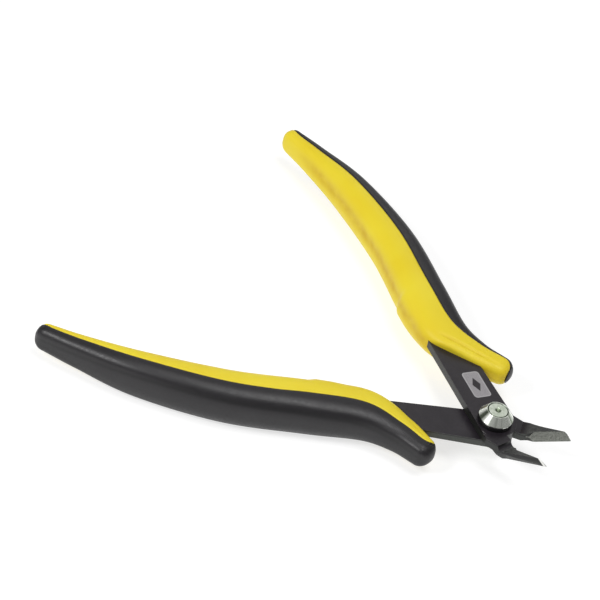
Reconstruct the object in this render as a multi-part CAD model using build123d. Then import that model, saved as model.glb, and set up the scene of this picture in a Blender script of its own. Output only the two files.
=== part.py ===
from build123d import *
from math import cos, pi, radians, sin, tan
import os

# Micro flush cutters with an angled head: two stamped levers that turn on one rivet.
# Origin: on the pivot axis, at the flat rear face of the rivet. +X points to the jaws
# along the middle of the open tool, +Y to the side of the upper lever's handle, and
# +Z to the front of the tool. Lengths are millimetres, angles are degrees.
#
# Each half is drawn closed, with its cutting edge over the X axis, and then turned
# open. The upper half has its handle at +Y and its jaw at -Y. The lower half is the
# same shape mirrored, one plate further back.

# Tool
open_angle = 36.4            # between the two cutting edges at rest
plate = 2.1                  # thickness of each lever
lever_gap = 0.05             # running gap between flat faces that slide

# Rivet, washer and collar
head_height = 1.7
head_radius = 4.6
head_chamfer = 0.4
shank_radius = 2.6
bore_clearance = 0.04        # radial running fit of the upper lever on the rivet
washer_height = 1.3
washer_radius = 4.5
collar_height = 2.3
collar_base_radius = 4.5
collar_top_radius = 2.95
collar_rim = 0.25            # straight edge below the collar's cone
edge_break = 0.15            # small chamfer on turned pieces
dimple_radius = 0.9
dimple_bottom_radius = 0.2
dimple_depth = 0.35

# Lever plates
boss_radius = 5.75           # round of each lever about the pivot
inner_edge_angle = {"upper": 15.4, "lower": 19.1}    # edges of the handle plates, from -X
outer_edge_angle = {"upper": 13.1, "lower": 14.2}
plate_end_x = -34.0          # the handle plates narrow to their tangs here
tang_width = 5.0
tang_reach = (0.07, 0.3, 0.55, 0.8)  # points of the tang along the grip's middle line
plate_corner = {"upper": (4.3, 6.5), "lower": (3.7, 6.7)}    # the inner edges turn to the jaws here

# Jaws
head_angle = 26.5            # rise of the jaws out of the plane of the levers
jaw_thickness = 2.2
bend_x = 7.9                 # line where the jaws start to rise
step_x = 7.5                 # the upper lever steps down to its jaw here
step_run = 0.4
step_fillet = 1.2            # rounding at the foot of that step
joggle_x = (6.5, 9.2)        # the underside of that step
tip_x = 19.9                 # end of the cutting edge
tip_top_x = 18.0             # end of the jaw's top face
edge_gap = 0.03              # half the gap between the closed cutting edges
mouth_relief = 0.7           # setback of the jaw root behind the cutting edge
mouth_end_x = 9.2
edge_start_x = 11.6
bevel_width = 1.3
bevel_start_x = 8.8
bevel_full_x = 10.6
bevel_overcut = 0.1          # how far the grinding cut runs past the faces it trims
jaw_lean = 1.2               # the jaw's outer wall leans in by this much at its foot
lean_x = (7.0, 10.0)         # the lean grows from nothing between these
lean_start_wall = 5.75       # outside of the jaw where the lean starts
lean_full_wall = 4.6         # and where it is full
jaw_shoulder = (8.8, 5.0)    # outside of the jaw
jaw_waist = (12.8, 3.1)
jaw_neck = (17.2, 1.5)
tip_width = 0.35

# Return spring, in a ring-shaped recess between the levers
spring_radius = 4.3
spring_wire_radius = 0.45
spring_arc = 290.0
spring_leg = 1.1
recess_inner = 3.5
recess_outer = 5.1
recess_depth = 0.5
leg_hole_radius = 0.5
leg_hole_reach = 1.2

# Grips: x, y, half width and half height of each section, from tail to guard
grip_sections = (
    (-113.2, 21.8, 2.7, 3.7),
    (-104.0, 22.5, 3.5, 4.5),
    (-88.0, 22.9, 5.0, 5.8),
    (-66.0, 19.9, 6.4, 6.2),
    (-46.0, 13.7, 7.0, 6.0),
    (-32.0, 10.1, 6.6, 5.5),
    (-22.0, 12.2, 4.5, 4.5),
    (-14.8, 15.6, 3.3, 3.6),
)
grip_squareness = 2.6        # exponent of the superellipse section
section_points = 16
cap_angles = (35.0, 65.0)    # rounding of the grip's two ends
grip_drop = 0.95             # the grips sit this far behind their plate's middle
front_edge = (-29.2, 3.1)    # inner corner of the grip's slanting front edge
front_edge_angle = 27.0
seam_tail = -0.3             # offset of the colour seam from the grip's middle line
seam_front = 1.0
seam_reach = (0.0, 0.35, 0.7, 0.88)  # points of the seam along the grip
seam_guard = (-13.2, 15.0)   # the seam turns round the guard here
seam_exit = (-12.0, 8.0)

# Heights of the stack
lower_z = head_height
upper_z = lower_z + plate + lever_gap
washer_z = upper_z + plate + lever_gap
collar_z = washer_z + washer_height
top_z = collar_z + collar_height
slope = tan(radians(head_angle))
jaw_rise = jaw_thickness / cos(radians(head_angle))
far = 200.0                  # larger than the tool


def turned(radius, height, z, chamfer_size, bottom=False):
    """A round disc on the pivot axis, with its upper or lower rim chamfered."""
    disc = Pos(0, 0, z) * Cylinder(radius, height, align=(Align.CENTER, Align.CENTER, Align.MIN))
    rims = disc.edges().filter_by(GeomType.CIRCLE).sort_by(Axis.Z)
    return chamfer(rims[0 if bottom else -1], chamfer_size)


def mirrored(shape):
    return mirror(shape, about=Plane.XZ)


def half_open(shape, side):
    """Turn a closed half to rest. Side is +1 for the upper half, -1 for the lower."""
    return Rot(0, 0, -side * open_angle / 2) * shape


# ---- Rivet, washer and collar ----
def make_rivet():
    head = turned(head_radius, head_height, 0, head_chamfer, bottom=True)
    shank = turned(shank_radius, top_z - head_height, head_height, edge_break)
    dimple = Pos(0, 0, top_z) * Cone(
        dimple_bottom_radius,
        dimple_radius,
        dimple_depth,
        align=(Align.CENTER, Align.CENTER, Align.MAX),
    )
    return head + shank - dimple


def make_washer():
    return turned(washer_radius, washer_height, washer_z, edge_break) - Cylinder(shank_radius, far)


def make_collar():
    profile = Polyline(
        (shank_radius, 0),
        (collar_base_radius, 0),
        (collar_base_radius, collar_rim),
        (collar_top_radius, collar_height),
        (shank_radius + edge_break, collar_height),
        (shank_radius, collar_height - edge_break),
        close=True,
    )
    return Pos(0, 0, collar_z) * revolve(Plane.XZ * make_face(profile), Axis.Z)


# ---- Return spring ----
def make_spring():
    middle = (lower_z + plate + upper_z) / 2
    ring = Pos(0, 0, middle) * revolve(
        Plane.XZ * Pos(spring_radius, 0) * Circle(spring_wire_radius), Axis.Z, spring_arc
    )
    up = Pos(spring_radius, 0, middle) * Cylinder(
        spring_wire_radius, spring_leg, align=(Align.CENTER, Align.CENTER, Align.MIN)
    )
    down = Pos(spring_radius, 0, middle) * Cylinder(
        spring_wire_radius, spring_leg, align=(Align.CENTER, Align.CENTER, Align.MAX)
    )
    return ring + up + Rot(0, 0, spring_arc) * down


def spring_recess(face_z, leg_angle):
    """The room that a lever's sliding face leaves for the spring and its leg."""
    ring = Cylinder(recess_outer, 2 * recess_depth) - Cylinder(recess_inner, 2 * recess_depth)
    hole = Rot(0, 0, leg_angle) * Pos(spring_radius, 0) * Cylinder(leg_hole_radius, 2 * leg_hole_reach)
    return Pos(0, 0, face_z) * (ring + hole)


# ---- Levers ----
def grip_spine():
    return Spline([(x, y) for x, y, _, _ in grip_sections])


def inner_corner_of(half):
    corner_x, corner_y = plate_corner[half]
    return Vector(corner_x, -corner_y)


def handle_plan(half):
    """The flat plate from the front: pivot boss, tapering handle plate and tang."""
    inner = radians(inner_edge_angle[half])
    outer = radians(outer_edge_angle[half])
    inner_corner = inner_corner_of(half)
    inner_end = inner_corner + Vector(-1, tan(inner)) * (inner_corner.X - plate_end_x)
    outer_touch = Vector(sin(outer), cos(outer)) * boss_radius
    outer_end = outer_touch + Vector(-1, tan(outer)) * (outer_touch.X - plate_end_x)
    strip = make_face(Polyline(inner_corner, inner_end, outer_end, outer_touch, close=True))
    drop = Vector(0, -far)
    beyond = make_face(
        Polyline(inner_corner, inner_end, inner_end + drop, inner_corner + drop, close=True)
    )
    spine = grip_spine()
    tang = trace(Spline([spine @ t for t in tang_reach]), line_width=tang_width)
    return Circle(boss_radius) - beyond + strip + tang


def jaw_plan(half):
    """The jaw from the front, on the -Y side of its cutting edge."""
    mouth = Spline(
        (mouth_end_x, -mouth_relief),
        ((mouth_end_x + edge_start_x) / 2, -mouth_relief / 2),
        (edge_start_x, -edge_gap),
        tangents=[(1, 0), (1, 0)],
    )
    edge = Polyline((edge_start_x, -edge_gap), (tip_x, -edge_gap), (tip_x, -tip_width))
    outside = Spline(
        (tip_x, -tip_width),
        (jaw_neck[0], -jaw_neck[1]),
        (jaw_waist[0], -jaw_waist[1]),
        (jaw_shoulder[0], -jaw_shoulder[1]),
    )
    root = Polyline(
        (jaw_shoulder[0], -jaw_shoulder[1]),
        inner_corner_of(half),
        (0, -mouth_relief),
        (mouth_end_x, -mouth_relief),
    )
    return make_face(mouth + edge + outside + root)


def jaw_floor(x):
    return lower_z + slope * (x - bend_x)


def side_profile(base_z):
    """The lever from the side: flat plate, then the rising jaw."""
    roof_x = bend_x + (plate - jaw_rise) / slope
    if base_z > lower_z:
        foot_x = step_x + step_run
        under = [(0, base_z), (joggle_x[0], base_z), (joggle_x[1], jaw_floor(joggle_x[1]))]
        over = [(foot_x, jaw_floor(foot_x) + jaw_rise), (step_x, base_z + plate)]
    else:
        under = [(0, base_z), (bend_x, base_z)]
        over = [(roof_x, base_z + plate)]
    tip = [(tip_x, jaw_floor(tip_x)), (tip_top_x, jaw_floor(tip_top_x) + jaw_rise)]
    points = under + tip + over + [(0, base_z + plate)]
    face = make_face(Polyline(*points, close=True))
    if base_z > lower_z:
        face = fillet(face.vertices().sort_by_distance(over[0])[0], step_fillet)
    return extrude(Plane.XZ * face, far, both=True)


def bevel_cutter():
    """What grinding takes off the inner side of the jaw, above its cutting edge."""
    floor = jaw_floor(bevel_start_x)
    high = floor + 3 * jaw_rise
    wide = 3 * bevel_width
    section = Plane.YZ.offset(bevel_start_x) * make_face(
        Polyline(
            (-edge_gap, floor),
            (-bevel_width - edge_gap, floor + jaw_rise),
            (-wide, high),
            (bevel_width, high),
            (bevel_width, floor),
            close=True,
        )
    )
    wedge = extrude(section, tip_x, dir=Vector(1, 0, slope))
    plan = make_face(
        Polyline(
            (bevel_start_x, bevel_width),
            (bevel_start_x, -bevel_overcut),
            (bevel_full_x, -bevel_width - bevel_overcut),
            (bevel_full_x, -wide),
            (2 * tip_x, -wide),
            (2 * tip_x, bevel_width),
            close=True,
        )
    )
    return wedge & extrude(plan, far, both=True)


def lean_section(x, wall, lean):
    """Section of the room beside a leaning outer wall, for the jaw's height at x."""
    floor = jaw_floor(x)
    outside = wall + 2 * jaw_lean
    return Plane.YZ.offset(x) * make_face(
        Polyline(
            (-wall + lean, floor),
            (-wall, floor + jaw_rise),
            (-outside, floor + jaw_rise),
            (-outside, floor - jaw_rise),
            (-wall + 2 * lean, floor - jaw_rise),
            close=True,
        )
    )


def lean_cutter():
    """What the jaw's outer wall leaves off below, where it leans in, from root to tip."""
    sections = [
        lean_section(lean_x[0], lean_start_wall, 0),
        lean_section(lean_x[1], lean_full_wall, jaw_lean),
        lean_section(tip_x, tip_width + jaw_lean, jaw_lean),
    ]
    return loft(sections, ruled=True)


def make_lever(half, base_z, bore_radius):
    handle = Pos(0, 0, base_z) * extrude(handle_plan(half), plate)
    jaw = extrude(jaw_plan(half), far, both=True) & side_profile(base_z)
    return handle + jaw - bevel_cutter() - lean_cutter() - Cylinder(bore_radius, far)


# ---- Grips ----
def signed_power(value, power):
    return abs(value) ** power * (1 if value > 0 else -1)


def superellipse(half_width, half_height):
    power = 2 / grip_squareness
    points = []
    for k in range(section_points):
        angle = 2 * pi * k / section_points
        across = half_width * signed_power(cos(angle), power)
        points.append((across, half_height * signed_power(sin(angle), power)))
    return make_face(Spline(points, periodic=True))


def section_plane(point, direction):
    """A plane across the grip: its X lies in the tool's plane, its Y along +Z."""
    return Plane(origin=(point.X, point.Y, 0), x_dir=(direction.Y, -direction.X, 0), z_dir=direction)


def end_caps(spine, end, half_width, half_height):
    """The shrinking sections that round one end of the grip, from its body outwards."""
    outward = 1 if end else -1
    caps = []
    for angle in cap_angles:
        place = spine @ end + (spine % end) * outward * half_width * sin(radians(angle))
        shrink = cos(radians(angle))
        section = superellipse(half_width * shrink, half_height * shrink)
        caps.append(section_plane(place, spine % end) * section)
    return caps


def grip_solid():
    spine = grip_spine()
    sections = []
    for x, y, half_width, half_height in grip_sections:
        t = spine.param_at_point((x, y))
        sections.append(section_plane(spine @ t, spine % t) * superellipse(half_width, half_height))
    tail = end_caps(spine, 0, *grip_sections[0][2:])
    guard = end_caps(spine, 1, *grip_sections[-1][2:])
    return loft(tail[::-1] + sections + guard)


def front_cutter():
    """Everything ahead of the grip's slanting front edge, on its inner side."""
    block = Box(far, far, far, align=(Align.CENTER, Align.MAX, Align.CENTER))
    return Pos(*front_edge) * Rot(0, 0, front_edge_angle) * block


def outer_side():
    """Everything outside the colour seam."""
    spine = grip_spine()
    points = []
    for t in seam_reach:
        offset = seam_tail + (seam_front - seam_tail) * t
        direction = spine % t
        points.append(spine @ t + Vector(-direction.Y, direction.X) * offset)
    past_tail = points[0] - (spine % 0) * 10
    seam = Spline([past_tail] + points + [seam_guard, seam_exit])
    rim = Polyline(seam_exit, (far, seam_exit[1]), (far, far), (past_tail.X, far), past_tail)
    return extrude(make_face(seam + rim), far, both=True)


def make_grip(base_z, lever):
    """The inner and outer pieces of one grip, moulded round the lever's tang."""
    middle = base_z + plate / 2 - grip_drop
    grip = Pos(0, 0, middle) * (grip_solid() - front_cutter()) - lever
    outside = outer_side()
    return grip - outside, grip & outside


# ---- Assembly ----
closed_upper = make_lever("upper", upper_z, shank_radius + bore_clearance)
closed_lower = make_lever("lower", lower_z, shank_radius)
upper_inner, upper_outer = make_grip(upper_z, closed_upper)
lower_inner, lower_outer = make_grip(lower_z, closed_lower)
upper_lever = half_open(closed_upper, 1)
lower_lever = half_open(mirrored(closed_lower), -1)

nodes = {
    "upper_lever": upper_lever - spring_recess(upper_z, 0),
    "lower_lever": lower_lever - spring_recess(lower_z + plate, spring_arc),
    "upper_grip_inner": half_open(upper_inner, 1),
    "upper_grip_outer": half_open(upper_outer, 1),
    "lower_grip_inner": half_open(mirrored(lower_inner), -1),
    "lower_grip_outer": half_open(mirrored(lower_outer), -1),
    "pivot_rivet": make_rivet(),
    "spring_washer": make_washer(),
    "pivot_collar": make_collar(),
    "return_spring": make_spring(),
}

os.makedirs("parts", exist_ok=True)
for name, shape in nodes.items():
    shape.label = name
    export_step(shape, f"parts/{name}.step")
    print(name, "solids", len(shape.solids()), "volume", round(shape.volume, 1))
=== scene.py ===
import math

import bmesh
import bpy
import numpy as np
from mathutils import Matrix, Vector


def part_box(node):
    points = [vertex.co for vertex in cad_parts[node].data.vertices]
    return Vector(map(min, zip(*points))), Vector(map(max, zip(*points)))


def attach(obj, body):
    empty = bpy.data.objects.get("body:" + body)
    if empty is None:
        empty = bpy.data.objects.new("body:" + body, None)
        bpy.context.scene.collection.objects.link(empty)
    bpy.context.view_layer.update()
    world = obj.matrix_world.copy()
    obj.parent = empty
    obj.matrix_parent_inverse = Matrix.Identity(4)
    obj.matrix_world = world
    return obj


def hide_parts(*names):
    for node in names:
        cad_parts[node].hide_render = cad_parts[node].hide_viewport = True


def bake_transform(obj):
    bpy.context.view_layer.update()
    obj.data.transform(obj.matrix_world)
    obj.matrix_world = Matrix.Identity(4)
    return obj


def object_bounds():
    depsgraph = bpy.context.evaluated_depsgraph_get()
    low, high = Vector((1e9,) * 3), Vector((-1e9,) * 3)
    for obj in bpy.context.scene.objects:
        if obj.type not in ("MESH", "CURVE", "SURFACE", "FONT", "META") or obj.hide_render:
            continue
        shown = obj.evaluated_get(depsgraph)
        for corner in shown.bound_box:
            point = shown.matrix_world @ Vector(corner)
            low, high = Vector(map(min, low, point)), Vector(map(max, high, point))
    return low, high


# Looks of the micro flush cutters. Shapes are given in millimetres in the closed frame
# of one half: its cutting edge lies over the X axis and its handle is at +Y. A point of
# the upper half is turned by -18.2 degrees to rest. A point of the lower half is mirrored
# to -Y and turned the other way.

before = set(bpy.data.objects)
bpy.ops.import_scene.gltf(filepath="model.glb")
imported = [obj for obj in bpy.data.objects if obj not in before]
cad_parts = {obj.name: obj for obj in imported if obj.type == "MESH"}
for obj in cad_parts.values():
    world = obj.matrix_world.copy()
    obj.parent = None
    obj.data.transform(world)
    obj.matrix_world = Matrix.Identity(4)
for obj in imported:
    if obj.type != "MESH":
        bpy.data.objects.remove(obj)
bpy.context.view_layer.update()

MM = 0.001
half_turn = 18.2

# Heights of the levers and the grips
lower_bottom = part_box("lower_lever")[0].z / MM
lower_top = 3.8              # front face of the lower plate
upper_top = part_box("spring_washer")[0].z / MM
grip_drop = {"upper": 0.0, "lower": 0.3}     # each grip lies this far behind its CAD middle
grip_middle = {}
for name, drop in grip_drop.items():
    grip_low, grip_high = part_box(f"{name}_grip_outer")
    grip_middle[name] = (grip_low.z + grip_high.z) / 2 / MM - drop

# Camera: it looks at a point between the handles
target = Vector((-61.7, 1.1, 5.0)) * MM
camera_distance = 0.683
camera_azimuth = 23.7
camera_elevation = 40.6
camera_roll = 15.7
camera_lens = 156.0

# Grip: x, y, half width and half height of each section, from tail to guard
grip_sections = (
    (-113.2, 21.8, 2.7, 3.7),
    (-104.0, 22.6, 3.5, 4.4),
    (-88.0, 23.0, 5.0, 5.7),
    (-66.0, 20.1, 6.5, 6.0),
    (-46.0, 13.8, 7.1, 5.9),
    (-32.0, 10.1, 6.6, 5.2),
    (-22.0, 12.2, 4.5, 4.1),
    (-14.8, 15.6, 3.3, 3.5),
)
squareness = 2.6
rings_between = 30           # sections worked out between two given ones
cap_rings = 14
cap_closing = 0.15           # the last ring stops short of the end by this share of a ring
arc_points = 96              # points of the shown part of a ring
hidden_points = 48           # and of the part that lies between the two mouldings
finer = 8                    # an outline is worked out this many times finer than it is kept
front_wall = {"upper": (-29.2, 3.45, 27.0), "lower": (-29.2, 1.4, 33.0)}   # a point and the angle
wall_reach = 2.0             # the wall shapes sections whose half width plus this reaches it
wall_blend = 1.5             # the rim grows while the wall goes from this far outside to this far inside
wall_fade = 0.3              # it fades towards the sides by this power
edge_radius = 0.3            # rounding of the front wall's edge
lip_height = 0.4             # raised rim along the front wall
lip_width = 0.8
valley_place = 2.4           # shallow valley behind that rim
valley_width = 0.5
valley_depth = 0.5
inner_steps = (              # x, and how far the inner side stands out there
    (-70.0, 0.0),
    (-54.0, -0.4),
    (-46.5, -0.4),
    (-44.5, 0.45),
    (-40.0, 0.4),
    (-33.0, -0.2),
)
swell = 1.0                  # the front half of the inner side swells out to the front wall
swell_run = (-38.0, -32.0)
swell_rise = (-3.5, 0.0)
parting_place = 0.6          # height of the valley along the inner side, where the mould halves meet
parting_depth = 0.28
parting_width = 1.8
parting_run = 16.0           # it grows from nothing along this length from the tail
panel_depth = 0.25           # the skin's outer side is recessed between two arched lines
panel_arch = (0.45, 0.74)    # height of those lines at the ends and at the middle
panel_run = 0.9              # half width of the slope along those lines
panel_length = 106.0         # the arch spans this, from the tail's first section
full_detail_width = 3.0      # valleys and recesses shrink below this half width
tail_bluntness = 2.3
tail_reach = 1.25            # length of the rounded tail, in half widths
skin = 1.2                   # thickness of the soft skin
skin_share = 0.42            # but no more than this share of the half width
skin_gap = 0.05
seam_groove = 0.14           # depth of the groove along the seam
seam_rounding = 0.25
full_groove_width = 2.0      # the groove shrinks below this half width
groove_fade = (1.0, 0.9)     # and where the seam nears a side
seam_offset = {"upper": (0.0, 0.6, 1.8), "lower": (-0.3, 1.0, -0.6)}   # at tail, waist and guard
seam_waist = 0.6             # where the waist lies along the grip
seam_turn = {"upper": (4.4, 0.8), "lower": (6.5, 2.0)}   # from the guard's tip, it turns inwards here
tail_turn = {"upper": (9.0, 0.8), "lower": (6.0, 1.0)}   # from the tail's end, it turns across here
tail_cover = {"upper": 1, "lower": -1}   # the seam turns outwards or inwards at the tail
nearly_whole = 0.9999999     # how far the seam goes to a side where one piece covers all

# Levers: the closed half's jaw, its ground faces and the sides of the plates
head_angle = math.radians(26.5)
jaw_thickness = 2.2
bend_x = 7.9
tip_x = 19.9
tip_top_x = 18.0
edge_gap = 0.03
bevel_width = 1.3
bevel_start_x = 8.8
plane_mask = (0.02, 0.06)    # a face lies in a plane up to the first distance
tip_ground_and_glint_mask = (-0.6, -0.45)     # the tip is ground, and on the upper lever carries a painted glint, from this far behind its end face
bevel_mask = (0.0, 0.1)      # the bevel's finish grows over this, from bevel_start_x
jaw_mask = (-1.0, 0.5)       # and the jaw's rougher finish over this
wall_shade_mask = (-1.2, -0.8)      # painted light and shade: the jaw's outer wall turns from near black to lighter this far below its top
side_mask = (0.3, 0.6)       # rise of the normal on a side and on a face
edge_shade_depths = (0.08, 0.16, 0.35, 0.5)  # depths of the painted shade line below a plate's front edge
bright_edge_width = 0.12            # radius of the rounding that finds the edges painted lighter, as wear and as a painted highlight
bright_edge_sharpness = 0.1         # how far the rounded normal and the real one part there
bright_edge_samples = 6

# Etched panel on the upper lever, and its plain diamond mark
panel_centre = (-12.3, 4.3)
panel_angle = -15.2
panel_half = (4.6, 2.45)
panel_corner = 0.95
panel_edge = (-0.05, 0.05)
panel_rim = (-0.35, -0.25)   # the lighter rim reaches this far inside the edge
mark_half = (2.5, 1.15)
mark_edge = (0.97, 1.03)
front_face_mask = (-0.2, -0.15)      # height of what counts as the plate's front face

# Collar: the joint with the rivet's shank, and the painted reflection streaks on its cone
joint_radius = 2.6
joint_line = (0.08, 0.2)     # half width of the dark line at the joint
dimple_radius = 0.9
dimple_edge = 0.2            # softness of the dimple's rim
cone_edge = 0.4              # and of the cone's inner rim
reflection_streaks_per_radian = 1.6

# Return spring
spring_wire = 0.45           # radius of the wire
spring_arc = 290.0           # from the upper leg at 0 degrees round to the lower leg
spring_bend = 0.55           # radius between the ring and its legs
bend_points = 8
ring_points = 90
wire_points = 16             # round the wire

# Studio
floor_reach = 4.0            # half the side of the floor, in metres


# ---- Curves and sections of the grips ----
def smooth_path(points, between):
    """Points of a smooth curve through the given rows (Catmull-Rom)."""
    rows = np.array(points, float)
    padded = np.vstack([2 * rows[0] - rows[1], rows, 2 * rows[-1] - rows[-2]])
    path = []
    for a, b, c, d in zip(padded, padded[1:], padded[2:], padded[3:]):
        for t in np.arange(between) / between:
            path.append(
                0.5 * (2 * b + (c - a) * t + (2 * a - 5 * b + 4 * c - d) * t ** 2
                       + (3 * b - a - 3 * c + d) * t ** 3)
            )
    path.append(rows[-1])
    return np.array(path)


def smoothstep(low, high, x):
    t = np.clip((x - low) / (high - low), 0, 1)
    return t * t * (3 - 2 * t)


def soft_min(a, b, radius):
    return 0.5 * (a + b - np.sqrt((a - b) ** 2 + radius ** 2))


def signed_power(x, power):
    return np.sign(x) * np.abs(x) ** power


def grip_stations(half):
    """Every section of a grip: centre, direction, half width, half height, seam and place along."""
    path = smooth_path(grip_sections, rings_between)
    steps = np.linalg.norm(np.diff(path[:, :2], axis=0), axis=1)
    length = np.concatenate([[0], np.cumsum(steps)])
    along = np.gradient(path[:, :2], axis=0)
    along /= np.linalg.norm(along, axis=1)[:, None]
    seams = np.interp(length / length[-1], (0, seam_waist, 1), seam_offset[half])
    stations = []
    for place, direction, s, seam in zip(path, along, length, seams):
        stations.append([place[:2], direction, place[2], place[3], seam, s])
    front, back = stations[-1], stations[0]
    for k in range(1, cap_rings + 1):
        angle = math.pi / 2 * k / (cap_rings + cap_closing)
        for end, place, power, stretch in (
            (1, len(stations), 1.0, 1.0),
            (-1, 0, 2 / tail_bluntness, tail_reach),
        ):
            centre, direction, width, height, seam, s = front if end > 0 else back
            shrink = math.cos(angle) ** power
            reach = end * stretch * width * math.sin(angle) ** power
            stations.insert(place, [centre + direction * reach, direction, width * shrink,
                                    height * shrink, seam * shrink, s + reach])
    return stations


def turn_seam(stations, half):
    """Turn the seam across both ends. Returns where it starts and ends along the grip."""
    tail = stations[0][5]
    tip = stations[-1][5]
    for station in stations:
        _, _, width, _, seam, s = station
        for from_end, (start, end), cover in (
            (tip - s, seam_turn[half], -1),
            (s - tail, tail_turn[half], tail_cover[half]),
        ):
            turn = np.clip((start - from_end) / (start - end), 0, 1)
            seam = cover * width + (seam - cover * width) * (1 - turn ** 3) ** (1 / 3)
        station[4] = seam
    return tail + tail_turn[half][1], tip - seam_turn[half][1]


def front_room(centre, outward, half):
    """Distance from a section's centre to the front wall, towards the inner side."""
    wall_x, wall_y, angle = front_wall[half]
    wall = np.array((math.cos(math.radians(angle)), math.sin(math.radians(angle))))
    offset = centre - np.array((wall_x, wall_y))
    across = outward[0] * wall[1] - outward[1] * wall[0]
    return (offset[0] * wall[1] - offset[1] * wall[0]) / across


def section_outline(station, half, outward, from_angle, to_angle, count):
    """Points of a section's outline between two angles, evenly spaced along it.

    The third column is the depth of the moulded valleys there, from 0 to 1.
    """
    centre, _, width, height, _, s = station
    angle = np.linspace(from_angle, to_angle, finer * count)
    across = width * signed_power(np.cos(angle), 2 / squareness)
    up = height * signed_power(np.sin(angle), 2 / squareness)
    room = front_room(centre, outward, half)
    size = min(1, width / full_detail_width)
    step = np.interp(centre[0], *zip(*inner_steps))
    valley = np.where(across < 0, np.exp(-((up - parting_place) / parting_width) ** 2), 0)
    valley = valley * smoothstep(0, parting_run, s)
    middle = 1 - min(1, abs(2 * s / panel_length - 1)) ** 2
    line = (panel_arch[0] + (panel_arch[1] - panel_arch[0]) * middle) * height
    recess = smoothstep(line + panel_run, line - panel_run, np.abs(up))
    groove = np.where(across > 0, np.exp(-((np.abs(up) - line + panel_run) / panel_run) ** 2), 0)
    step = step + swell * smoothstep(*swell_run, centre[0]) * smoothstep(*swell_rise, up)
    inner = across * (1 + size * (step - parting_depth * valley) / width)
    across = np.where(across < 0, inner, across * (1 - panel_depth * size * recess / width))
    if room < width + wall_reach:
        from_wall = across + room
        share = smoothstep(width + wall_blend, width - wall_blend, room)
        share = share * np.abs(np.sin(angle)) ** wall_fade
        rim = np.exp(-((from_wall - lip_width / 2) / lip_width) ** 2)
        behind = np.exp(-((from_wall - valley_place) / valley_width) ** 2)
        up = up + np.sign(up) * share * (lip_height * rim - valley_depth * behind)
        parting = valley * smoothstep(width - wall_blend, width + wall_blend, room)
        valley = np.maximum(parting, share * behind)
        across = -soft_min(-across, room, edge_radius)
    points = np.stack([across, up, np.maximum(valley, groove) * size], 1)
    steps = np.linalg.norm(np.diff(points[:, :2], axis=0), axis=1)
    run = np.concatenate([[0], np.cumsum(steps)])
    even = np.linspace(0, run[-1], count)
    return np.stack([np.interp(even, run, column) for column in points.T], 1), even


def inset(points, depth):
    """The outline moved inwards by a depth at each point."""
    tangent = np.gradient(points[:, :2], axis=0)
    length = np.linalg.norm(tangent, axis=1)
    tangent /= np.maximum(length, 1e-9)[:, None]
    inward = np.stack([-tangent[:, 1], tangent[:, 0]], 1)
    moved = points[:, :2] + inward * np.broadcast_to(depth, len(points))[:, None]
    return np.hstack([moved, points[:, 2:]])


def piece_ring(station, half, part):
    """One closed ring of the hard inner piece or of the soft outer skin."""
    _, direction, width, _, seam, _ = station
    outward = np.array((-direction[1], direction[0]))
    share = np.clip(seam / width, -nearly_whole, nearly_whole)
    seam_angle = math.acos(signed_power(share, squareness / 2))
    thickness = min(skin, skin_share * width)
    if part == "outer":
        shown, run = section_outline(station, half, outward, -seam_angle, seam_angle, arc_points)
        hidden = inset(shown[::-1][:: arc_points // hidden_points], -thickness)
    else:
        shown, run = section_outline(
            station, half, outward, seam_angle, 2 * math.pi - seam_angle, arc_points
        )
        under, _ = section_outline(station, half, outward, -seam_angle, seam_angle, hidden_points)
        hidden = inset(under, thickness + skin_gap)
    from_seam = np.minimum(run, run[-1] - run)
    size = min(1, width / full_groove_width) * smoothstep(*groove_fade, abs(share))
    dip = seam_groove * size * np.exp(-(from_seam / seam_rounding) ** 2)
    return np.vstack([inset(shown, dip), hidden])


def place_ring(ring, station, half):
    """Section points as points of the row frame."""
    centre, direction, *_ = station
    outward = np.array((-direction[1], direction[0]))
    plan = centre + ring[:, :1] * outward
    side = 1 if half == "upper" else -1
    turn = -side * math.radians(half_turn)
    x = plan[:, 0]
    y = side * plan[:, 1]
    z = grip_middle[half] + ring[:, 1]
    return np.stack([x * math.cos(turn) - y * math.sin(turn),
                     x * math.sin(turn) + y * math.cos(turn), z], 1) * MM


def closed_tube(name, rings):
    """A closed mesh through rings with the same number of points."""
    count = len(rings[0])
    bm = bmesh.new()
    rows = [[bm.verts.new(p) for p in ring] for ring in rings]
    for row, following in zip(rows, rows[1:]):
        for k in range(count):
            n = (k + 1) % count
            bm.faces.new((row[k], row[n], following[n], following[k]))
    bm.faces.new(rows[0][::-1])
    bm.faces.new(rows[-1])
    bmesh.ops.triangulate(bm, faces=[f for f in bm.faces if len(f.verts) > 4])
    bmesh.ops.recalc_face_normals(bm, faces=bm.faces)
    for face in bm.faces:
        face.smooth = True
    mesh = bpy.data.meshes.new(name)
    bm.to_mesh(mesh)
    bm.free()
    piece = bpy.data.objects.new(name, mesh)
    bpy.context.scene.collection.objects.link(piece)
    return piece


def make_grip(half, part, material):
    """The inner or the outer moulding of one grip, which stands for its CAD node."""
    stations = grip_stations(half)
    seam_start, seam_end = turn_seam(stations, half)
    if part == "inner":
        stations = [s for s in stations if s[5] < seam_end]
    if (part == "inner") == (tail_cover[half] < 0):
        stations = [s for s in stations if s[5] > seam_start]
    outlines = [piece_ring(s, half, part) for s in stations]
    rings = [place_ring(outline, s, half) for outline, s in zip(outlines, stations)]
    piece = closed_tube(f"{half}_grip_{part}_moulded", rings)
    valleys = piece.data.attributes.new("valley", "FLOAT", "POINT")
    valleys.data.foreach_set("value", np.concatenate([outline[:, 2] for outline in outlines]))
    piece.data.materials.append(material)
    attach(piece, f"{half}_half")
    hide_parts(f"{half}_grip_{part}")


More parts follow.
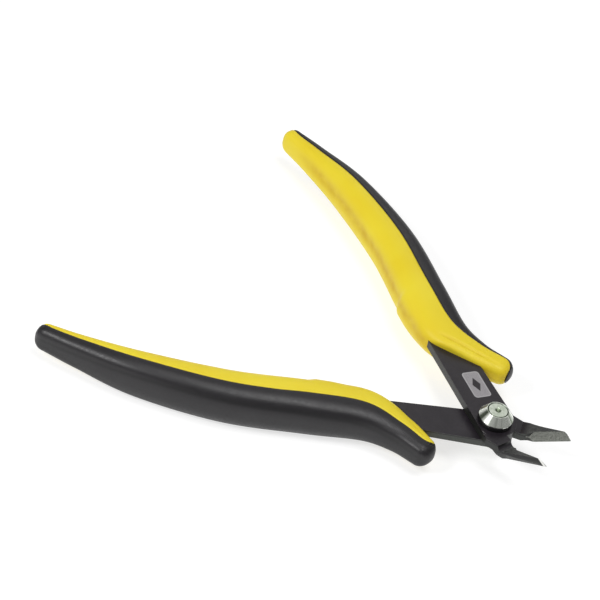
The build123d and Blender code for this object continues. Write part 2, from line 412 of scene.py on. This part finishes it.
# ---- Return spring ----
def spring_line():
    """Centre of the wire: out of the upper lever, round the pivot and into the lower lever."""
    low, high = (np.array(corner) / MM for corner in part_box("return_spring"))
    radius = high[1] - spring_wire
    middle = (low[2] + high[2]) / 2
    length = radius * math.radians(spring_arc)
    turn = np.linspace(0, math.pi / 2, bend_points)
    bend = spring_bend * np.stack([1 - np.cos(turn), 1 - np.sin(turn)], 1)
    leg = np.vstack([(0, high[2] - middle), bend])
    ring = np.linspace(spring_bend, length - spring_bend, ring_points)[1:-1]
    line = np.vstack([leg, np.stack([ring, 0 * ring], 1), (length, 0) - leg[::-1]])
    angle = line[:, 0] / radius
    return np.stack([radius * np.cos(angle), radius * np.sin(angle), middle + line[:, 1]], 1)


def make_spring(material):
    """One open turn of wire round the pivot."""
    line = spring_line()
    along = np.gradient(line, axis=0)
    along /= np.linalg.norm(along, axis=1)[:, None]
    angle = np.linspace(0, 2 * math.pi, wire_points, endpoint=False)[:, None]
    rings = []
    for centre, direction in zip(line, along):
        outward = np.array((centre[0], centre[1], 0)) / math.hypot(centre[0], centre[1])
        sideways = np.cross(direction, outward)
        round_wire = np.cos(angle) * outward + np.sin(angle) * sideways
        rings.append((centre + spring_wire * round_wire) * MM)
    piece = closed_tube("return_spring_wire", rings)
    piece.data.materials.append(material)
    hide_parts("return_spring")
    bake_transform(piece)


# ---- Material helpers ----
def new_material(name):
    """A material with its shader. Returns the material, its node tree and the shader."""
    material = bpy.data.materials.new(name)
    material.use_nodes = True
    tree = material.node_tree
    return material, tree, tree.nodes["Principled BSDF"]


def connect(tree, value, socket):
    """Link a node's output to a socket, or set a plain value on it."""
    if isinstance(value, bpy.types.NodeSocket):
        tree.links.new(value, socket)
    else:
        socket.default_value = value


def calc(tree, operation, *values):
    """A math node on sockets or plain numbers."""
    node = tree.nodes.new("ShaderNodeMath")
    node.operation = operation
    for value, socket in zip(values, node.inputs):
        connect(tree, value, socket)
    return node.outputs[0]


def position(tree, scale=(1, 1, 1), place=(0, 0, 0), turn=0.0):
    """Object coordinates seen from a place and a turn about Z, divided by a scale."""
    source = tree.nodes.new("ShaderNodeTexCoord")
    mapping = tree.nodes.new("ShaderNodeMapping")
    mapping.vector_type = "TEXTURE"
    mapping.inputs["Location"].default_value = place
    mapping.inputs["Rotation"].default_value = (0, 0, turn)
    mapping.inputs["Scale"].default_value = scale
    tree.links.new(source.outputs["Object"], mapping.inputs["Vector"])
    return mapping.outputs["Vector"]


def coordinates(tree, vector=None):
    """X, Y and Z in millimetres, of the row frame or of a given vector."""
    split = tree.nodes.new("ShaderNodeSeparateXYZ")
    tree.links.new(vector or position(tree, (MM, MM, MM)), split.inputs[0])
    return split.outputs


def length_of(tree, x, y):
    """Length of the line from the origin to x, y."""
    squares = calc(tree, "ADD", calc(tree, "MULTIPLY", x, x), calc(tree, "MULTIPLY", y, y))
    return calc(tree, "SQRT", squares)


def noise(tree, size, detail=3.0, vector=None):
    """Cloudy noise from 0 to 1 whose blobs are about the given size in millimetres."""
    node = tree.nodes.new("ShaderNodeTexNoise")
    node.inputs["Scale"].default_value = 1 / (size * MM)
    node.inputs["Detail"].default_value = detail
    tree.links.new(vector or position(tree), node.inputs["Vector"])
    return node.outputs["Fac"]


def spread(tree, value, low, high, to_low=0.0, to_high=1.0):
    """Map a value from one range to another, held at both ends."""
    node = tree.nodes.new("ShaderNodeMapRange")
    sockets = ("From Min", "From Max", "To Min", "To Max")
    for socket, number in zip(sockets, (low, high, to_low, to_high)):
        node.inputs[socket].default_value = number
    tree.links.new(value, node.inputs["Value"])
    return node.outputs["Result"]


def blend_colours(tree, share, first, second):
    node = tree.nodes.new("ShaderNodeMix")
    node.data_type = "RGBA"
    connect(tree, share, node.inputs[0])
    connect(tree, first, node.inputs[6])
    connect(tree, second, node.inputs[7])
    return node.outputs[2]


def blend_numbers(tree, share, first, second):
    node = tree.nodes.new("ShaderNodeMix")
    connect(tree, share, node.inputs[0])
    connect(tree, first, node.inputs[2])
    connect(tree, second, node.inputs[3])
    return node.outputs[0]


def add_bump(tree, shader, height, depth):
    """Bump of a given depth in millimetres."""
    node = tree.nodes.new("ShaderNodeBump")
    node.inputs["Strength"].default_value = 1.0
    node.inputs["Distance"].default_value = depth * MM
    tree.links.new(height, node.inputs["Height"])
    tree.links.new(node.outputs["Normal"], shader.inputs["Normal"])


def edge_wear_and_highlight(tree):
    """1 along the edges of a CAD node, where a rounded normal leaves the real one, 0 on flat faces."""
    bevel = tree.nodes.new("ShaderNodeBevel")
    bevel.samples = bright_edge_samples
    bevel.inputs["Radius"].default_value = bright_edge_width * MM
    geometry = tree.nodes.new("ShaderNodeNewGeometry")
    dot = tree.nodes.new("ShaderNodeVectorMath")
    dot.operation = "DOT_PRODUCT"
    tree.links.new(bevel.outputs["Normal"], dot.inputs[0])
    tree.links.new(geometry.outputs["Normal"], dot.inputs[1])
    return spread(tree, dot.outputs["Value"], 1 - bright_edge_sharpness, 1 - bright_edge_sharpness / 5, 1.0, 0.0)


def linear(red, green, blue):
    """A linear colour from 0-255 display values."""
    parts = []
    for c in (red, green, blue):
        c /= 255
        parts.append(c / 12.92 if c <= 0.04045 else ((c + 0.055) / 1.055) ** 2.4)
    return (*parts, 1.0)


def valley_share(tree, low, high):
    """How far a point lies down in the grip's moulded valleys."""
    node = tree.nodes.new("ShaderNodeAttribute")
    node.attribute_name = "valley"
    return spread(tree, node.outputs["Fac"], low, high)


# ---- Materials ----
# The sheared sides of each lever's plate, from the dark to the light of their grain; lighter on the
# lower lever and darker on the upper one as painted light and shade
side_colours_with_painted_light = {
    "upper": (linear(26, 28, 26), linear(44, 46, 43)),
    "lower": (linear(44, 48, 44), linear(64, 68, 62)),
}


def yellow_plastic():
    """Moulded plastic, with painted shade in a darker orange down in its valleys."""
    material, tree, shader = new_material("yellow_plastic")
    cloud = spread(tree, noise(tree, 18.0, 2.0), 0.35, 0.65)
    base = blend_colours(tree, cloud, linear(230, 210, 50), linear(226, 202, 40))
    uneven = spread(tree, noise(tree, 3.5), 0.3, 0.65, 0.35, 1.0)
    shade = calc(tree, "MULTIPLY", valley_share(tree, 0.1, 1.0), uneven)
    # painted shade: the parting crease and the valley behind the front rim are painted darker orange
    base = blend_colours(tree, shade, base, linear(206, 172, 4))
    tree.links.new(base, shader.inputs["Base Color"])
    tree.links.new(spread(tree, noise(tree, 1.5), 0.3, 0.7, 0.40, 0.52), shader.inputs["Roughness"])
    shader.inputs["Specular IOR Level"].default_value = 0.3
    shader.inputs["Subsurface Weight"].default_value = 0.08
    shader.inputs["Subsurface Radius"].default_value = (0.002, 0.0015, 0.0004)
    add_bump(tree, shader, noise(tree, 0.35, 4.0), 0.02)
    return material


def soft_black():
    """Satin soft-touch skin, with painted shade darkening its grooves."""
    material, tree, shader = new_material("soft_black")
    cloud = spread(tree, noise(tree, 9.0), 0.3, 0.7)
    base = blend_colours(tree, cloud, linear(25, 23, 26), linear(32, 30, 33))
    # painted shade: the grooves and the line below the shoulder are painted darker
    base = blend_colours(tree, valley_share(tree, 0.4, 1.0), base, linear(20, 19, 21))
    tree.links.new(base, shader.inputs["Base Color"])
    tree.links.new(spread(tree, noise(tree, 0.8), 0.3, 0.7, 0.36, 0.48), shader.inputs["Roughness"])
    add_bump(tree, shader, noise(tree, 0.25, 5.0), 0.03)
    return material


def plane_distance(tree, normal, through):
    """Distance in millimetres of each point from a plane."""
    normal = Vector(normal).normalized()
    node = tree.nodes.new("ShaderNodeVectorMath")
    node.operation = "DOT_PRODUCT"
    node.inputs[1].default_value = normal
    tree.links.new(position(tree), node.inputs[0])
    along = calc(tree, "DIVIDE", node.outputs["Value"], MM)
    return calc(tree, "SUBTRACT", along, normal.dot(Vector(through)))


def at_rest(vector, half):
    """A direction or place of the closed half, as it lies at rest."""
    side = 1 if half == "upper" else -1
    x, y, z = vector
    return Matrix.Rotation(-side * math.radians(half_turn), 3, "Z") @ Vector((x, side * y, z))


def on_plane(tree, normal, through, half):
    """1 on the faces that lie in a plane of the closed half, 0 elsewhere."""
    distance = plane_distance(tree, at_rest(normal, half), at_rest(through, half))
    return spread(tree, calc(tree, "ABSOLUTE", distance), *plane_mask, 1.0, 0.0)


def jaw_floor(x):
    """Height of the jaw's rear face."""
    return lower_bottom + math.tan(head_angle) * (x - bend_x)


def ground_faces(tree, half):
    """1 on the jaw, 1 on its ground bevel, 1 at its ground tip and 1 low on its outer wall, where
    painted light replaces the painted shade above.
    """
    rise = jaw_thickness / math.cos(head_angle)
    lean = bevel_width / rise
    bevel_normal = (-lean * math.tan(head_angle), 1, lean)
    bevel = on_plane(tree, bevel_normal, (tip_x, -edge_gap, jaw_floor(tip_x)), half)
    top = jaw_floor(tip_top_x) + rise
    tip_normal = at_rest((top - jaw_floor(tip_x), 0, tip_x - tip_top_x), half)
    to_tip = plane_distance(tree, tip_normal, at_rest((tip_x, 0, jaw_floor(tip_x)), half))
    tip = spread(tree, to_tip, *tip_ground_and_glint_mask)
    ahead = plane_distance(tree, at_rest((1, 0, 0), half), at_rest((bevel_start_x, 0, 0), half))
    bevel = calc(tree, "MULTIPLY", bevel, spread(tree, ahead, *bevel_mask))
    roof = at_rest((-math.sin(head_angle), 0, math.cos(head_angle)), half)
    above = plane_distance(tree, roof, at_rest((tip_top_x, 0, top), half))
    low = spread(tree, above, *wall_shade_mask, 1.0, 0.0)
    return spread(tree, ahead, *jaw_mask), bevel, tip, low


def rounded_box(tree, x, y, half_length, half_width, corner):
    """Distance in millimetres outside a rounded rectangle; negative inside."""
    beyond = []
    for place, half_size in ((x, half_length), (y, half_width)):
        over = calc(tree, "SUBTRACT", calc(tree, "ABSOLUTE", place), half_size - corner)
        beyond.append(calc(tree, "MAXIMUM", over, 0))
    return calc(tree, "SUBTRACT", length_of(tree, *beyond), corner)


def etched_panel(tree):
    """1 on the light etched panel without its plain diamond mark, and 1 on the panel's rim."""
    place = at_rest((*panel_centre, upper_top), "upper")
    local = position(tree, (MM, MM, MM), place * MM, math.radians(panel_angle - half_turn))
    x, y, z = coordinates(tree, local)
    outside = rounded_box(tree, x, y, *panel_half, panel_corner)
    panel = spread(tree, outside, *panel_edge, 1.0, 0.0)
    rim = spread(tree, outside, *panel_rim)
    reach = calc(tree, "ADD", calc(tree, "DIVIDE", calc(tree, "ABSOLUTE", x), mark_half[0]),
                 calc(tree, "DIVIDE", calc(tree, "ABSOLUTE", y), mark_half[1]))
    mark = spread(tree, reach, *mark_edge)
    front_face = spread(tree, z, *front_face_mask)
    return calc(tree, "MULTIPLY", calc(tree, "MULTIPLY", panel, mark), front_face), rim


def stamped_sides(tree, half):
    """1 on the sheared sides of the handle plate, and 1 on the line of painted shade below their front
    edge.
    """
    geometry = tree.nodes.new("ShaderNodeNewGeometry")
    _, _, rise = coordinates(tree, geometry.outputs["Normal"])
    side = spread(tree, calc(tree, "ABSOLUTE", rise), *side_mask, 1.0, 0.0)
    _, _, height = coordinates(tree)
    plate_top = upper_top if half == "upper" else lower_top
    below = calc(tree, "SUBTRACT", plate_top, height)
    line = calc(tree, "MULTIPLY", spread(tree, below, *edge_shade_depths[:2]),
                spread(tree, below, *edge_shade_depths[2:], 1.0, 0.0))
    return side, calc(tree, "MULTIPLY", line, side)


def lever_steel(half):
    """Black-finished steel with ground cutting bevels, and the etched panel on the upper lever."""
    material, tree, shader = new_material(f"{half}_lever_steel")
    cloud = spread(tree, noise(tree, 4.0, 6.0), 0.3, 0.7)
    base = blend_colours(tree, cloud, linear(25, 20, 26), linear(36, 31, 37))
    side, line = stamped_sides(tree, half)
    grain = spread(tree, noise(tree, 0.3, 4.0, position(tree, (1, 1, 0.3))), 0.3, 0.7)
    # painted light and shade: each lever's sides take their own lighter or darker colours
    dark, light = side_colours_with_painted_light[half]
    base = blend_colours(tree, side, base, blend_colours(tree, grain, dark, light))
    # painted shade: a near-black line below each plate's front edge
    base = blend_colours(tree, line, base, linear(12, 11, 12))
    # lighter edges: partly wear, partly a painted highlight along the plates' edges
    worn_and_highlit = calc(tree, "MULTIPLY", edge_wear_and_highlight(tree), spread(tree, noise(tree, 1.2), 0.45, 0.7))
    base = blend_colours(tree, worn_and_highlit, base, linear(96, 96, 94))
    jaw, bevel, tip, low = ground_faces(tree, half)
    ground = calc(tree, "MAXIMUM", bevel, tip)
    rough = spread(tree, noise(tree, 0.35, 5.0), 0.3, 0.7)
    rough = blend_colours(tree, rough, linear(38, 38, 38), linear(78, 79, 77))
    # painted shade and light: the jaw's outer wall is near black up top and lighter lower down
    wall = blend_colours(tree, low, linear(8, 8, 8), linear(40, 42, 39))
    base = blend_colours(tree, jaw, base, blend_colours(tree, side, rough, wall))
    scratches = noise(tree, 0.12, 4.0, position(tree, (6, 1, 1), (0, 0, 0), math.radians(35)))
    steel = blend_colours(tree, spread(tree, scratches, 0.35, 0.65),
                          linear(84, 87, 82), linear(190, 192, 184))
    base = blend_colours(tree, ground, base, steel)
    # painted glint: the upper jaw's tip is painted near white
    if half == "upper":
        base = blend_colours(tree, tip, base, linear(232, 232, 228))
        panel, rim = etched_panel(tree)
        etched = blend_colours(tree, spread(tree, noise(tree, 0.25), 0.35, 0.65),
                               linear(136, 133, 136), linear(152, 149, 152))
        etched = blend_colours(tree, rim, etched, linear(166, 164, 166))
        base = blend_colours(tree, panel, base, etched)
    tree.links.new(base, shader.inputs["Base Color"])
    tree.links.new(spread(tree, ground, 0, 1, 0.1, 0.85), shader.inputs["Metallic"])
    satin = spread(tree, noise(tree, 0.6), 0.3, 0.7, 0.32, 0.44)
    tree.links.new(satin, shader.inputs["Roughness"])
    height = blend_numbers(tree, ground, noise(tree, 0.2, 4.0), scratches)
    add_bump(tree, shader, height, 0.012)
    return material


def turned_steel():
    """Bright turned steel. Its cone has painted light and dark reflection streaks that fan out from the
    pivot.
    """
    material, tree, shader = new_material("turned_steel")
    x, y, z = coordinates(tree)
    radius = length_of(tree, x, y)
    angle = calc(tree, "ARCTAN2", y, x)
    reflection_streaks = tree.nodes.new("ShaderNodeTexNoise")
    reflection_streaks.noise_dimensions = "1D"
    reflection_streaks.inputs["Scale"].default_value = reflection_streaks_per_radian
    reflection_streaks.inputs["Detail"].default_value = 1.5
    tree.links.new(angle, reflection_streaks.inputs["W"])
    on_cone = spread(tree, radius, joint_radius, joint_radius + cone_edge)
    reflection_streak = spread(tree, reflection_streaks.outputs["Fac"], 0.5, 0.66)
    # painted reflections: bright and dark streaks round the cone
    cone = blend_colours(tree, reflection_streak, linear(245, 249, 240), linear(112, 122, 104))
    mottled = blend_colours(tree, spread(tree, noise(tree, 0.9), 0.35, 0.65),
                            linear(206, 216, 198), linear(234, 240, 228))
    in_dimple = spread(tree, radius, dimple_radius - dimple_edge, dimple_radius, 1.0, 0.0)
    flat = blend_colours(tree, in_dimple, mottled, linear(130, 142, 120))
    base = blend_colours(tree, on_cone, flat, cone)
    from_joint = calc(tree, "ABSOLUTE", calc(tree, "SUBTRACT", radius, joint_radius))
    joint = calc(tree, "MULTIPLY", spread(tree, from_joint, *joint_line, 1.0, 0.0),
                 spread(tree, z, upper_top, upper_top + 1))
    base = blend_colours(tree, joint, base, linear(70, 78, 66))
    tree.links.new(base, shader.inputs["Base Color"])
    shader.inputs["Metallic"].default_value = 1.0
    tree.links.new(spread(tree, on_cone, 0, 1, 0.5, 0.26), shader.inputs["Roughness"])
    add_bump(tree, shader, noise(tree, 0.6), 0.004)
    return material


def black_oxide():
    """Black spring steel of the washer."""
    material, tree, shader = new_material("black_oxide")
    base = blend_colours(tree, noise(tree, 1.5), linear(18, 17, 19), linear(28, 27, 29))
    tree.links.new(base, shader.inputs["Base Color"])
    shader.inputs["Metallic"].default_value = 0.4
    tree.links.new(spread(tree, noise(tree, 0.5), 0.3, 0.7, 0.4, 0.5), shader.inputs["Roughness"])
    add_bump(tree, shader, noise(tree, 0.2), 0.008)
    return material


def drawn_wire():
    """Bright drawn wire of the return spring."""
    material, tree, shader = new_material("drawn_wire")
    base = blend_colours(tree, noise(tree, 0.8), linear(140, 142, 139), linear(182, 184, 180))
    tree.links.new(base, shader.inputs["Base Color"])
    shader.inputs["Metallic"].default_value = 1.0
    tree.links.new(spread(tree, noise(tree, 0.3), 0.3, 0.7, 0.28, 0.4), shader.inputs["Roughness"])
    add_bump(tree, shader, noise(tree, 0.15), 0.005)
    return material


def dress(node, material, bevel=0.0):
    """Give a CAD node its finish, and a fine rounding of its edges."""
    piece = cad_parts[node]
    piece.data.materials.clear()
    piece.data.materials.append(material)
    if bevel:
        rounding = piece.modifiers.new("edges", "BEVEL")
        rounding.width = bevel * MM
        rounding.segments = 2
        rounding.limit_method = "ANGLE"
        rounding.angle_limit = math.radians(35)
        rounding.harden_normals = True


# ---- Studio ----
def direction_from(azimuth, elevation):
    """Unit vector towards a place round the object. Azimuth 0 is at -Y, 90 at +X."""
    a = math.radians(azimuth)
    e = math.radians(elevation)
    return Vector((math.sin(a) * math.cos(e), -math.cos(a) * math.cos(e), math.sin(e)))


def add_camera():
    data = bpy.data.cameras.new("camera")
    data.lens = camera_lens
    data.sensor_width = 36.0
    data.clip_start = 0.05
    data.clip_end = 5.0
    camera = bpy.data.objects.new("camera", data)
    bpy.context.scene.collection.objects.link(camera)
    away = direction_from(camera_azimuth, camera_elevation)
    camera.location = target + away * camera_distance
    level = (-away).to_track_quat("-Z", "Y")
    roll = Matrix.Rotation(math.radians(camera_roll), 4, "Z")
    camera.matrix_world = Matrix.Translation(camera.location) @ level.to_matrix().to_4x4() @ roll
    bpy.context.scene.camera = camera


def add_light(name, azimuth, elevation, distance, size, power):
    """A round soft light that looks at the camera's target."""
    data = bpy.data.lights.new(name, "AREA")
    data.shape = "DISK"
    data.size = size
    data.energy = power
    light = bpy.data.objects.new(name, data)
    bpy.context.scene.collection.objects.link(light)
    away = direction_from(azimuth, elevation)
    light.location = target + away * distance
    light.rotation_mode = "QUATERNION"
    light.rotation_quaternion = (-away).to_track_quat("-Z", "Y")


def add_floor():
    """A pale floor under the object, which shines a little so that it renders white."""
    low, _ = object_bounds()
    mesh = bpy.data.meshes.new("floor")
    signs = ((-1, -1), (1, -1), (1, 1), (-1, 1))
    corners = [(floor_reach * x, floor_reach * y, 0) for x, y in signs]
    mesh.from_pydata(corners, [], [(0, 1, 2, 3)])
    floor = bpy.data.objects.new("floor", mesh)
    floor.location.z = low.z
    bpy.context.scene.collection.objects.link(floor)
    material, _, shader = new_material("floor")
    shader.inputs["Base Color"].default_value = (0.4, 0.4, 0.4, 1)
    shader.inputs["Emission Color"].default_value = (1, 1, 1, 1)
    shader.inputs["Emission Strength"].default_value = 0.7
    shader.inputs["Roughness"].default_value = 0.9
    mesh.materials.append(material)


def add_world():
    world = bpy.data.worlds.new("studio")
    bpy.context.scene.world = world
    world.use_nodes = True
    background = world.node_tree.nodes["Background"]
    background.inputs["Color"].default_value = (1.0, 1.0, 1.0, 1)
    background.inputs["Strength"].default_value = 0.25


# ---- Assembly ----
yellow = yellow_plastic()
black = soft_black()
for half_name in ("upper", "lower"):
    make_grip(half_name, "inner", yellow)
    make_grip(half_name, "outer", black)
    dress(f"{half_name}_lever", lever_steel(half_name), 0.1)
bright = turned_steel()
dress("pivot_rivet", bright)
dress("pivot_collar", bright)
make_spring(drawn_wire())
dress("spring_washer", black_oxide())

bpy.context.scene.view_settings.view_transform = "Standard"
add_camera()
add_world()
# Lights: azimuth, elevation, distance, diameter and power
add_light("key", -26, 42, 0.7, 0.20, 2.4)
add_light("back", 204, 34, 0.8, 0.40, 0.45)
add_light("top", 90, 78, 0.7, 0.40, 2.2)
add_floor()
